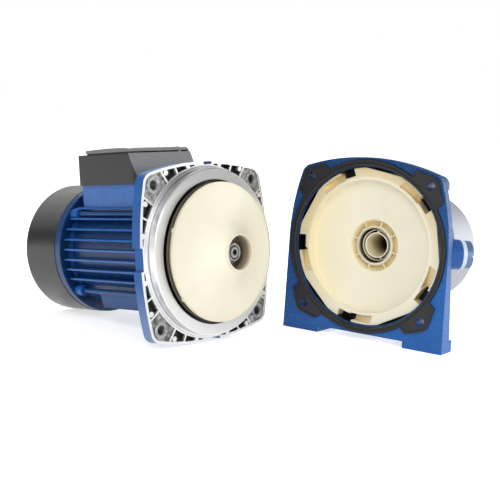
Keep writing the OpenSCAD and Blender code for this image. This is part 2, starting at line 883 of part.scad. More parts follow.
module priming_tank() {
    color("lightgray") at_casing() difference() {
        union() {
            difference() {
                union() {
                    translate([0, -tank_drop, 0]) {
                        rotate_extrude() intersection() {
                            tank_section(0);
                            translate([0, -2 * tank_back]) square([tank_r, 2 * tank_back]);
                        }
                        tube(tank_flange_r, tank_r - tank_wall, -dish_depth - tank_flange_t, -dish_depth);
                    }
                    translate([0, 0, -discharge_back]) rotate([-90, 0, 0])
                        cylinder(r = port_boss_r, h = discharge_h);
                    translate([0, 0, -filler_back]) rotate([-90, 0, 0])
                        cylinder(r = filler_boss_r, h = filler_h);
                    disc(port_boss_r, -tank_back - suction_len, -tank_back + tank_wall);
                    translate([0, -drain_low, 0])
                        disc(drain_boss_r, -tank_back - drain_boss_len, -tank_back + tank_wall);
                }
                translate([0, -tank_drop, 0]) rotate_extrude() intersection() {
                    tank_section(tank_wall);
                    translate([0, -2 * tank_back]) square([tank_r, 2 * tank_back]);
                }
            }
            tube(chamber_r + chamber_wall, chamber_r, -tank_back + tank_wall - fit_gap, -chamber_start);
        }
        disc(port_r, -tank_back - suction_len - cut, -tank_back + tank_wall + cut);
        translate([0, 0, -discharge_back]) rotate([-90, 0, 0]) translate([0, 0, bore_low])
            cylinder(r = port_r, h = discharge_h);
        translate([0, 0, -filler_back]) rotate([-90, 0, 0]) translate([0, 0, bore_low])
            cylinder(r = filler_thread_r + thread_gap, h = filler_h);
        translate([0, -drain_low, 0])
            disc(drain_thread_r + thread_gap, -tank_back - drain_boss_len - cut, -tank_back + tank_wall + cut);
        translate([0, 0, -feed_back]) rotate([0, 90, 0])
            cylinder(r = feed_r + fit_gap, h = chamber_r + chamber_wall + cut);
        translate([0, -tank_drop, 0])
            tube(seal_groove_r + seal_groove_w, seal_groove_r, -dish_depth - seal_groove_d, -dish_depth + cut);
        at_tank_bolts() disc(m6_r + thread_gap, -dish_depth - tank_flange_t - cut, -dish_depth + cut);
    }
}

module tank_seal() {
    color("black") at_casing() translate([0, -tank_drop, -dish_depth - seal_wire_r])
        rotate_extrude() translate([seal_groove_r + seal_groove_w / 2, 0]) circle(r = seal_wire_r);
}

module tank_bolts() {
    head_low = -dish_depth - tank_flange_t;
    color("silver") at_casing() at_tank_bolts() {
        disc(m6_r, head_low, -dish_depth + rear_wall);
        translate([0, 0, head_low - m6_head_h]) cylinder(r = m6_head_r, h = m6_head_h, $fn = 6);
    }
}

module gauge_washer() {
    color("gainsboro") at_casing() at_gauge()
        tube(gauge_boss_r - gauge_washer_inset, gauge_thread_r + thread_gap, gauge_boss_len,
            gauge_boss_len + gauge_washer_t);
}

module gauge_plug() {
    low = gauge_boss_len + gauge_washer_t;
    color("steelblue") at_casing() at_gauge() difference() {
        union() {
            disc(gauge_thread_r, gauge_boss_len - gauge_thread_len, low);
            disc(gauge_boss_r - gauge_head_inset, low, low + gauge_head_t);
        }
        translate([-gauge_boss_r, -plug_slot_w / 2, low + gauge_head_t - plug_slot_d])
            cube([2 * gauge_boss_r, plug_slot_w, plug_slot_d + cut]);
    }
}

// Stands on the filler boss, with Z pointing up
module at_filler() {
    translate([0, 0, -filler_back]) rotate([-90, 0, 0]) translate([0, 0, filler_h]) children();
}

module filler_seal() {
    color("black") at_casing() at_filler()
        tube(filler_boss_r, filler_thread_r + thread_gap, 0, filler_seal_t);
}

module filler_plug() {
    low = filler_seal_t;
    color("steelblue") at_casing() at_filler() {
        disc(filler_thread_r, -filler_plug_len, low);
        disc(filler_boss_r, low, low + filler_flange_t);
        translate([0, 0, low + filler_flange_t]) cylinder(r = filler_head_r, h = filler_head_h, $fn = 6);
    }
}

// Stands on the drain boss, with Z pointing away from the tank
module at_drain() {
    translate([0, -drain_low, -tank_back - drain_boss_len]) rotate([180, 0, 0]) children();
}

module drain_seal() {
    color("black") at_casing() at_drain()
        tube(drain_boss_r, drain_thread_r + thread_gap, 0, drain_seal_t);
}

module drain_plug() {
    color("steelblue") at_casing() at_drain() {
        disc(drain_thread_r, -drain_plug_len, drain_seal_t);
        translate([0, 0, drain_seal_t]) cylinder(r = drain_head_r, h = drain_head_h, $fn = 6);
    }
}

// Thin ribs across the pockets at mirrored angles about each middle
module flange_ribs(turn) {
    for (quarter = [0 : 90 : 270], side = [-1, 1]) rotate(quarter + side * turn)
        translate([0, -rib_t / 2]) square([2 * flange_half, rib_t]);
}

// Small round bosses in the pockets at mirrored angles about each middle
module cast_bosses(turn, reach) {
    for (quarter = [0 : 90 : 270], side = [-1, 1]) rotate(quarter + side * turn)
        translate([reach, 0]) circle(r = cast_boss_r);
}

// The part of the flange face between the spigot and the machined border
module pocket_field() {
    difference() {
        bulged_square(flange_half, flange_bulge_r, border_w);
        circle(r = spigot_base_r + border_w / 2);
        flange_ribs(notch_ribs_turn);
        for (quarter = [0 : 90 : 270])
            rotate(quarter) sector(-notch_ribs_turn, notch_ribs_turn, 2 * flange_half);
    }
}

module corner_sectors() {
    for (quarter = [0 : 90 : 270])
        rotate(quarter + 45) sector(-45 + corner_ribs_turn, 45 - corner_ribs_turn, 2 * flange_half);
}

// Half section of the spigot, with its step and grooves
module spigot_section() {
    step = spigot_step;
    polygon([
        [recess_r, -fit_gap], [spigot_base_r, -fit_gap], [spigot_base_r, step / 2],
        [spigot_base_r - step / 4, step], [spigot_r + groove_d / 4, step], [spigot_r - groove_d, step],
        [spigot_r - groove_d, step + groove_w], [spigot_r, step + groove_w],
        [spigot_r, spigot_h - spigot_chamfer], [spigot_r - spigot_chamfer, spigot_h],
        [recess_r, spigot_h]]);
}

module motor_bracket() {
    color("silver") at_motor() difference() {
        union() {
            difference() {
                translate([0, 0, -flange_t]) linear_extrude(flange_t)
                    bulged_square(flange_half, flange_bulge_r);
                translate([0, 0, -flange_pocket]) linear_extrude(flange_pocket + cut) difference() {
                    pocket_field();
                    corner_sectors();
                    flange_ribs(middle_ribs_turn);
                    flange_ribs(corner_ribs_turn);
                    cast_bosses(cast_boss_turn, cast_boss_reach);
                    cast_bosses(corner_cast_turn, corner_cast_reach);
                }
                translate([0, 0, -corner_recess]) linear_extrude(corner_recess + cut) difference() {
                    intersection() {
                        pocket_field();
                        corner_sectors();
                    }
                    flange_ribs(corner_ribs_turn);
                    for (sx = [-1, 1], sy = [-1, 1])
                        translate([sx * bolt_half, sy * bolt_half]) circle(r = corner_boss_r);
                }
            }
            rotate_extrude() spigot_section();
            disc(recess_r + fit_gap, -fit_gap, recess_floor);
            disc(hub_r, -hub_back, recess_floor);
        }
        for (quarter = [0 : 90 : 270]) rotate(quarter)
            translate([flange_half - flange_notch_d, -flange_notch_w / 2, -flange_t - cut])
                cube([flange_half, flange_notch_w, flange_t + 2 * cut]);
        tube(winding_well_r, hub_r, -flange_t - cut, -flange_t + winding_well);
        at_corners(bolt_half, bolt_half) disc(bolt_hole_r, -flange_t - cut, cut);
        at_corners(tie_side, tie_up) disc(tie_r + thread_gap, -flange_t - cut, -tie_thread_front);
        disc(seal_chamber_r, -seal_chamber_back, spigot_h);
        disc(seat_pocket_r, -seat_pocket_back, 0);
        disc(shaft_hole_r, -hub_back - cut, 0);
        disc(bearing_out_r, -hub_back - cut, -front_bearing);
    }
}

module seal_cup() {
    color("black") at_motor()
        tube(seat_pocket_r - fit_gap, seat_ring_r + fit_gap, -seat_pocket_back, -seal_chamber_back);
}

module seal_seat() {
    color("white") at_motor() tube(seat_ring_r, shaft_hole_r, -seat_pocket_back, seal_face_z);
}

module motor_housing() {
    color("royalblue") at_motor() difference() {
        union() {
            tube(barrel_r, barrel_in_r, -shield_front, -flange_t);
            tube(barrel_r + collar_h, barrel_in_r, -shield_front, -shield_front + collar_w);
            intersection() {
                tube(fin_r, barrel_in_r, -shield_front, -flange_t);
                for (i = [-fins_under : fins_over])
                    translate([-fin_r, fin_rise + i * fin_step - fin_t / 2, -shield_front + fin_front_gap])
                        cube([2 * fin_r, fin_t, housing_len - 2 * fin_front_gap]);
            }
            translate([-pedestal_half, pedestal_low, -box_back])
                cube([2 * pedestal_half, pedestal_h - pedestal_low, box_back - flange_t - fin_front_gap]);
            across(2 * base_block_half) polygon([
                [-base_block_low, -base_block_front], [-base_block_h, -base_block_front - base_block_slope],
                [-base_block_h, -base_block_back + base_block_slope], [-base_block_low, -base_block_back]]);
            at_corners(tie_side, tie_up) {
                disc(lug_r, -flange_t - lug_len, -flange_t);
                disc(lug_r, -shield_front, -shield_front + lug_len);
            }
        }
        disc(barrel_in_r, -shield_front - cut, -flange_t + cut);
        at_corners(tie_side, tie_up) disc(tie_r + tie_gap, -shield_front - cut, -flange_t + cut);
        translate([0, 0, -lead_hole_back]) rotate([-90, 0, 0]) cylinder(r = lead_hole_r, h = pedestal_h + cut);
    }
}

module rear_shield() {
    pocket_back = rear_bearing + bearing_w + spring_t + fit_gap;
    color("royalblue") at_motor() difference() {
        union() {
            disc(shield_r, -shield_back, -shield_front);
            tube(cover_in_r - fit_gap, cover_in_r - shield_spigot_w, -shield_back - shield_spigot_len,
                -shield_back);
            disc(shield_hub_r, -shield_back, -shield_hub_front);
            tube(barrel_in_r - fit_gap, barrel_in_r - locating_w, -shield_front,
                -shield_front + locating_len);
        }
        disc(bearing_out_r, -pocket_back, -shield_hub_front + cut);
        disc(shaft_hole_r, -shield_back - cut, 0);
        at_corners(tie_side, tie_up) disc(tie_r + tie_gap, -shield_back - cut, -shield_front + cut);
    }
}

module tie_rods() {
    color("silver") at_motor() at_corners(tie_side, tie_up) {
        disc(tie_r, -shield_back, -tie_thread_front - fit_gap);
        disc(m4_head_r, -shield_back - m6_head_h, -shield_back);
    }
}

// Half section of the fan cover, shrunk by a wall
module cover_section(wall) {
    flat = cover_r - cover_round;
    translate([0, -cover_end + cover_round]) square([cover_r - wall, cover_len - cover_round + wall]);
    translate([0, -cover_end + wall]) square([flat, cover_len]);
    translate([flat, -cover_end + cover_round]) circle(r = cover_round - wall);
}

module fan_cover() {
    color("dimgray") at_motor() difference() {
        rotate_extrude() intersection() {
            cover_section(0);
            translate([0, -cover_end]) square([cover_r, cover_len]);
        }
        rotate_extrude() intersection() {
            cover_section(cover_wall);
            translate([0, -cover_end]) square([cover_r, cover_len + cut]);
        }
        difference() {
            union() for (i = [0 : grille_rings - 1]) {
                low_r = grille_first_r + i * grille_step;
                tube(low_r + grille_slot, low_r, -cover_end - cut, -cover_end + cover_wall + cut);
            }
            around(grille_spokes, 45)
                translate([0, -grille_spoke_w / 2, -cover_end - 2 * cut])
                    cube([cover_r, grille_spoke_w, cover_wall + 4 * cut]);
        }
    }
}

module stator_core() {
    color("gray") at_motor() difference() {
        tube(barrel_in_r - fit_gap, stator_in_r, -stack_back - stack_len, -stack_back);
        around(slots) {
            translate([slot_in_r, -slot_w / 2, -stack_back - stack_len - cut])
                cube([slot_depth, slot_w, stack_len + 2 * cut]);
            translate([stator_in_r - cut, -slot_mouth_w / 2, -stack_back - stack_len - cut])
                cube([slot_in_r - stator_in_r + 2 * cut, slot_mouth_w, stack_len + 2 * cut]);
        }
    }
}

module stator_windings() {
    low = -stack_back - stack_len;
    in_r = slot_in_r + coil_gap;
    out_r = slot_in_r + slot_depth - coil_gap;
    color("peru") at_motor() {
        around(slots) translate([in_r + coil_gap, -slot_w / 2 + coil_gap, low - 2 * coil_gap])
            cube([out_r - in_r - 2 * coil_gap, slot_w - 2 * coil_gap, stack_len + 4 * coil_gap]);
        tube(out_r, in_r, low - coil_gap - coil_end_len, low - coil_gap);
        tube(out_r, in_r, -stack_back + coil_gap, -stack_back + coil_gap + coil_end_len);
    }
}

// A bearing ring with its race, between two radii
module bearing_ring(out_r, in_r, back) {
    difference() {
        tube(out_r, in_r, -back - bearing_w, -back);
        translate([0, 0, -back - bearing_w / 2])
            rotate_extrude() translate([pitch_r, 0]) circle(r = ball_r + race_gap);
    }
}

module bearing_outer(back) {
    bearing_ring(bearing_out_r - fit_gap, pitch_r + race_half, back);
}

module bearing_inner(back) {
    bearing_ring(pitch_r - race_half, bearing_in_r + fit_gap, back);
}

module bearing_balls(back) {
    around(balls) translate([pitch_r, 0, -back - bearing_w / 2]) sphere(r = ball_r);
}

module front_bearing_outer() {
    color("lightsteelblue") at_motor() bearing_outer(front_bearing);
}

module rear_bearing_outer() {
    color("lightsteelblue") at_motor() bearing_outer(rear_bearing);
}

module front_bearing_inner() {
    color("lightsteelblue") at_motor() bearing_inner(front_bearing);
}

module rear_bearing_inner() {
    color("lightsteelblue") at_motor() bearing_inner(rear_bearing);
}

module front_balls() {
    color("white") at_motor() bearing_balls(front_bearing);
}

module rear_balls() {
    color("white") at_motor() bearing_balls(rear_bearing);
}

module bearing_spring() {
    low = -rear_bearing - bearing_w - spring_t;
    color("silver") at_motor() tube(bearing_out_r - fit_gap, pitch_r + race_half, low, low + spring_t);
}

// Plan of the terminal box with rounded front corners, set in by a margin
// Side outline of the box between two heights, with its leaning front wall
module box_side(low, high, inset = 0) {
    slope = box_lean / box_h;
    polygon([
        [low, -box_back], [low, -box_front - inset - (low - box_low) * slope],
        [high, -box_front - inset - (high - box_low) * slope], [high, -box_back]]);
}

module box_plan(inset, back) {
    side = box_half - inset;
    front = -box_front - inset;
    round = box_round - inset;
    translate([-side, -back]) square([2 * side, back + front - round]);
    translate([-side + round, -back]) square([2 * (side - round), back + front]);
    for (end = [-1, 1]) translate([end * (side - round), front - round]) circle(r = round);
}

// Places a lid screw at each corner of the lid
module at_lid_screws() {
    middle = -(box_back - lid_back + lid_front) / 2;
    run = (box_back - lid_back - lid_front) / 2 - screw_inset;
    for (sx = [-1, 1], sz = [-1, 1])
        translate([sx * (box_half - screw_inset), 0, middle + sz * run]) rotate([-90, 0, 0]) children();
}

module terminal_box() {
    color("dimgray") at_motor() difference() {
        union() {
            difference() {
                intersection() {
                    upwards(box_low, box_top) box_plan(0, box_back);
                    across(2 * box_half) box_side(box_low, box_top);
                }
                intersection() {
                    upwards(box_low + box_wall, box_top + cut) box_plan(box_wall, box_back - lid_back);
                    across(2 * box_half) box_side(box_low, box_top + 2 * cut, box_wall);
                }
            }
            intersection() {
                at_lid_screws() cylinder(r = post_r, h = box_top);
                upwards(box_low + box_wall / 2, box_top) box_plan(box_wall / 2, box_back - lid_back);
                across(2 * box_half) box_side(box_low, box_top, box_wall / 2);
            }
        }
        at_lid_screws() translate([0, 0, box_low + box_h / 2]) cylinder(r = m4_r + thread_gap, h = box_h);
        translate([0, 0, -lead_hole_back]) rotate([-90, 0, 0])
            cylinder(r = lead_hole_r, h = box_low + 2 * box_wall);
        translate([box_half - box_wall - cut, box_low + box_h / 2, -gland_back]) rotate([0, 90, 0])
            cylinder(r = gland_thread_r + thread_gap, h = box_wall + 2 * cut);
    }
}

module box_gasket() {
    color("black") at_motor() difference() {
        intersection() {
            upwards(box_top, box_top + box_gasket_t) difference() {
                box_plan(lid_lip, box_back - lid_back - lid_lip);
                box_plan(box_wall, box_back - lid_back - box_wall);
            }
            across(2 * box_half) box_side(box_top, box_top + box_gasket_t, lid_lip);
        }
        intersection() {
            upwards(box_top - cut, box_top + box_gasket_t + cut) box_plan(box_wall, box_back - lid_back - box_wall);
            across(2 * box_half) box_side(box_top - cut, box_top + box_gasket_t + cut, box_wall);
        }
        at_lid_screws() cylinder(r = m4_head_r, h = box_top + 2 * box_gasket_t);
    }
}

module box_lid() {
    low = box_top + box_gasket_t;
    color("gray") at_motor() difference() {
        intersection() {
            upwards(low, low + lid_t + lid_crown) box_plan(0, box_back - lid_back);
            across(2 * box_half) polygon([
                [low, -box_back], [low + lid_t, -box_back + lid_back],
                [low + lid_t + lid_crown, -box_back + lid_back + lid_crown_run],
                [low + lid_t + lid_crown, -lid_front - lid_crown_run / 2],
                [low + lid_t, -lid_front - lid_t], [low, -lid_front]]);
        }
        at_lid_screws() cylinder(r = m4_r + thread_gap, h = 2 * box_top);
        at_lid_screws() translate([0, 0, low + lid_t / 2]) cylinder(r = m4_head_r + fit_gap, h = box_top);
    }
}

module lid_screws() {
    head_low = box_top + box_gasket_t + lid_t / 2;
    color("silver") at_motor() at_lid_screws() {
        translate([0, 0, box_low + box_h / 2 + fit_gap]) cylinder(r = m4_r, h = head_low - box_low - box_h / 2);
        translate([0, 0, head_low]) cylinder(r = m4_head_r, h = m4_head_h);
    }
}

module terminal_block() {
    color("saddlebrown") at_motor() translate([block_side - block_w / 2, box_low + box_wall, -block_back])
        cube([block_w, block_h, block_len]);
}

module terminal_studs() {
    color("gold") at_motor() for (i = [-1 : 1])
        translate([block_side + i * stud_step, box_low + box_wall + block_h, -block_back + block_len / 2])
            rotate([-90, 0, 0]) cylinder(r = stud_r, h = stud_h);
}

module capacitor() {
    color("whitesmoke") at_motor()
        translate([cap_side, box_low + box_wall + cap_r + fit_gap, 0]) disc(cap_r, -cap_back, -cap_back + cap_len);
}

// Stands on the far wall of the terminal box, with Z pointing out of the cable gland
module at_gland() {
    translate([box_half, box_low + box_h / 2, -gland_back]) rotate([0, 90, 0]) children();
}

module cable_gland() {
    color("dimgray") at_motor() at_gland() difference() {
        union() {
            disc(gland_thread_r, -box_wall - cut, gland_flange_t + gland_nut_t / 2);
            cylinder(r = gland_r, h = gland_flange_t, $fn = 6);
        }
        disc(gland_seal_r, -box_wall - 2 * cut, gland_flange_t + gland_nut_t);
    }
}

module gland_nut() {
    low = gland_flange_t;
    middle = low + gland_nut_t / 2;
    color("dimgray") at_motor() at_gland() difference() {
        disc(gland_nut_r, low, low + gland_nut_t);
        disc(gland_thread_r + thread_gap, low - cut, middle);
        disc(gland_seal_r + fit_gap, middle - cut, low + gland_nut_t - box_wall / 2);
        disc(cable_r + box_wall / 2, middle, low + gland_nut_t + cut);
    }
}

module gland_seal() {
    color("black") at_motor() at_gland()
        tube(gland_seal_r - fit_gap, cable_r, -box_wall, gland_flange_t + gland_nut_t - box_wall / 2 - fit_gap);
}

module shaft() {
    front_step = front_bearing + bearing_w + shaft_step_gap;
    rear_step = rear_bearing - shaft_step_gap;
    color("silver") at_motor() difference() {
        rotate_extrude() polygon([
            [0, shaft_front], [nut_shaft_r, shaft_front], [nut_shaft_r, hub_front],
            [shaft_end_r, hub_front], [shaft_end_r, -shaft_seal_start],
            [bearing_in_r, -shaft_seal_start], [bearing_in_r, -front_step], [shaft_core_r, -front_step],
            [shaft_core_r, -rear_step], [bearing_in_r, -rear_step],
            [bearing_in_r, -rear_bearing - bearing_w], [shaft_end_r, -rear_bearing - bearing_w],
            [shaft_end_r, -shaft_back], [0, -shaft_back]]);
        translate([-key_w / 2 - fit_gap, key_low - fit_gap, key_back - fit_gap])
            cube([key_w + 2 * fit_gap, key_high, key_len + 2 * fit_gap]);
        disc(centre_hole_r, shaft_front - centre_hole_d, shaft_front + cut);
    }
}

module impeller_key() {
    color("silver") at_motor() translate([-key_w / 2, key_low, key_back])
        cube([key_w, key_high - key_low, key_len]);
}

module rotor_core() {
    color("gray") at_motor()
        tube(stator_in_r - air_gap, shaft_core_r + fit_gap, -stack_back - stack_len, -stack_back);
}

module rotor_end_rings() {
    color("silver") at_motor() {
        tube(end_ring_r, end_ring_in_r, -stack_back, -stack_back + end_ring_len);
        tube(end_ring_r, end_ring_in_r, -stack_back - stack_len - end_ring_len, -stack_back - stack_len);
    }
}

module seal_head() {
    face = seal_face_z + head_face_t;
    color("slategray") at_motor() difference() {
        union() {
            disc(head_face_r, seal_face_z + fit_gap, face);
            disc(head_r, face, impeller_back);
        }
        disc(head_in_r, seal_face_z - cut, impeller_back + cut);
    }
}

// Height of the front shroud's outer face at a share of the way from the rim to the neck
function shroud_height(share) =
    rim_front + shroud_rise * (straight_share * share + steep_share * pow(share, trumpet_power));

// Radius at a share of the way from the rim to the neck
function shroud_radius(share) = impeller_r + (neck_r - impeller_r) * share;

// Half section of the front shroud, from the rim to the neck
module front_shroud_section() {
    outer = [for (i = [0 : trumpet_steps])
        [shroud_radius(i / trumpet_steps), shroud_height(i / trumpet_steps)]];
    inner = [for (i = [trumpet_steps : -1 : 0])
        [shroud_radius(i / trumpet_steps) - (i == trumpet_steps ? neck_r - eye_r : 0),
            min(throat_low, shroud_height(i / trumpet_steps) - shroud_t)]];
    polygon(concat(outer, [[neck_r, neck_front + neck_len], [eye_r, neck_front + neck_len]], inner));
}

// Half section of the space that the vanes fill, with a bite into both shrouds
module vane_section() {
    last = floor(trumpet_steps * (impeller_r - vane_in_r) / (impeller_r - neck_r));
    roof = [for (i = [0 : last])
        [shroud_radius(i / trumpet_steps) - shroud_bite, shroud_height(i / trumpet_steps) - shroud_t + shroud_bite / 2]];
    polygon(concat([[impeller_r - shroud_bite, impeller_back + shroud_t - shroud_bite]], roof,
        [[shroud_radius(last / trumpet_steps) - shroud_bite, impeller_back + shroud_t - shroud_bite]]));
}

// Plan of one swept-back vane
module vane_plan() {
    intersection() {
        translate([vane_shift, 0]) difference() {
            circle(r = vane_curve_r);
            circle(r = vane_curve_r - vane_t);
        }
        translate([-impeller_r, 0]) square([2 * impeller_r, impeller_r]);
    }
}

module impeller() {
    color("wheat") at_motor() difference() {
        union() {
            disc(impeller_r, impeller_back, impeller_back + shroud_t);
            disc(impeller_hub_r, impeller_back, hub_front);
            rotate_extrude() front_shroud_section();
            intersection() {
                rotate_extrude() vane_section();
                linear_extrude(neck_front) around(impeller_vanes) vane_plan();
            }
        }
        disc(shaft_end_r + fit_gap, impeller_back - cut, hub_front + cut);
        translate([-key_w / 2 - fit_gap, 0, key_back - fit_gap])
            cube([key_w + 2 * fit_gap, key_high + fit_gap, hub_front]);
    }
}

module impeller_washer() {
    color("gray") at_motor() tube(washer_r, nut_shaft_r + fit_gap, hub_front, hub_front + washer_t);
}

module impeller_nut() {
    low = hub_front + washer_t;
    color("silver") at_motor() difference() {
        union() {
            translate([0, 0, low]) cylinder(r = nut_r, h = nut_t - nut_collar_t, $fn = 6);
            disc(nut_collar_r, low, low + nut_t);
        }
        disc(nut_shaft_r + fit_gap, low - cut, low + nut_t + cut);
        disc(lock_ring_r + fit_gap, low + nut_t - lock_ring_t - lock_ring_drop, low + nut_t + cut);
    }
}

module nut_lock_ring() {
    top = hub_front + washer_t + nut_t - lock_ring_drop;
    color("dimgray") at_motor() tube(lock_ring_r, nut_shaft_r + fit_gap, top - lock_ring_t, top);
}

module fan() {
    color("gray") at_motor() difference() {
        union() {
            disc(fan_hub_r, -fan_back, -fan_front);
            disc(fan_disc_r, -fan_front - fan_disc_t, -fan_front);
            around(fan_blades) translate([fan_hub_r / 2, -blade_t / 2, -fan_back])
                cube([fan_r - fan_hub_r / 2, blade_t, fan_back - fan_front]);
        }
        disc(shaft_end_r + fit_gap, -fan_back - cut, -fan_front + cut);
    }
}

module fan_clip() {
    color("silver") at_motor() tube(clip_r, shaft_end_r + fit_gap, -fan_back - clip_t, -fan_back);
}

pump_casing();
casing_gasket();
diffuser();
wear_ring();
venturi_tube();
ejector_nozzle();
priming_tank();
tank_seal();
tank_bolts();
gauge_washer();
gauge_plug();
filler_seal();
filler_plug();
drain_seal();
drain_plug();
motor_bracket();
motor_housing();
rear_shield();
tie_rods();
fan_cover();
stator_core();
stator_windings();
front_bearing_outer();
rear_bearing_outer();
bearing_spring();
seal_seat();
seal_cup();
terminal_box();
box_gasket();
box_lid();
lid_screws();
terminal_block();
terminal_studs();
capacitor();
cable_gland();
gland_nut();
gland_seal();
shaft();
rotor_core();
rotor_end_rings();
front_bearing_inner();
rear_bearing_inner();
front_balls();
rear_balls();
seal_head();
impeller();
impeller_key();
impeller_washer();
impeller_nut();
nut_lock_ring();
fan();
fan_clip();
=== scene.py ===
"""Looks of the opened surface water pump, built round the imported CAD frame."""
import json
import math

import bpy
from mathutils import Matrix, Vector


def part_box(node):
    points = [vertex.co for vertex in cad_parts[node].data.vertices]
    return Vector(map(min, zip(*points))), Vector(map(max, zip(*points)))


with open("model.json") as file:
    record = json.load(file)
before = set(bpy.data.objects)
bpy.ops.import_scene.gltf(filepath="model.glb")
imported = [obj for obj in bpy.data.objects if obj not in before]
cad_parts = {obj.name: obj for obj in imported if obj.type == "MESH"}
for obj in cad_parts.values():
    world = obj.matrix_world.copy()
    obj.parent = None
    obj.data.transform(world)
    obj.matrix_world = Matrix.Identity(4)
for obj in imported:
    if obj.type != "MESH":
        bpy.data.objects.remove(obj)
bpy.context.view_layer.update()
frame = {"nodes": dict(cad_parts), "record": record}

record = frame["record"]
nodes = frame["nodes"]


def named(rows, name):
    return next(row for row in rows if row["name"] == name)


# The motor's own frame: x to the far side, y up, z along the shaft towards the impeller
spin = named(record["behaviour"]["joints"], "rotor_spin")
cable_entry = named(record["mounts"], "cable_entry")
motor_z = Vector(spin["axis"]).normalized()
motor_x = Vector(cable_entry["axis"]).normalized()
motor_y = motor_z.cross(motor_x)
MOTOR = Matrix((motor_x, motor_y, motor_z)).transposed().to_4x4()
MOTOR.translation = Vector(spin["pos_m"])

# The casing's own frame: x right, y up, z along the pump's axis towards the open side
face_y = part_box("pump_casing")[0][1]
axis_z = named(record["mounts"], "suction_port")["pos_m"][2]
CASING = Matrix(((1, 0, 0), (0, 0, -1), (0, 1, 0))).to_4x4()
CASING.translation = Vector((0, face_y, axis_z))

HALVES = {"motor": MOTOR, "casing": CASING, "row": Matrix.Identity(4)}


def display(r, g, b):
    """Linear colour from 0-255 display values."""
    def linear(c):
        c /= 255
        return c / 12.92 if c <= 0.04045 else ((c + 0.055) / 1.055) ** 2.4
    return (linear(r), linear(g), linear(b), 1.0)


def grey(level):
    return (level, level, level, 1)


def times(colour, k):
    return tuple(min(1.0, c * k) for c in colour[:3]) + (1.0,)


BLUE = (0.011, 0.100, 0.350, 1)
# Dark blue of painted shade
BLUE_SHADE = (0.003, 0.026, 0.090, 1)
# Pale blue of painted light from below
BLUE_BOUNCE_LIGHT = display(196, 212, 236)
CREAM = display(247, 241, 220)
# Warm cream, tan and brown are colours of painted shade in the cream plastic
CREAM_WARM_SHADE = display(238, 219, 166)
TAN_SHADE = display(232, 208, 146)
BROWN_SHADE = (0.060, 0.034, 0.010, 1)
STEEL = (0.62, 0.63, 0.65, 1)
WHITE = (1, 1, 1, 1)

# The part of a noise's range over which a blotch goes from dark to light
BLOTCH = (0.3, 0.7)


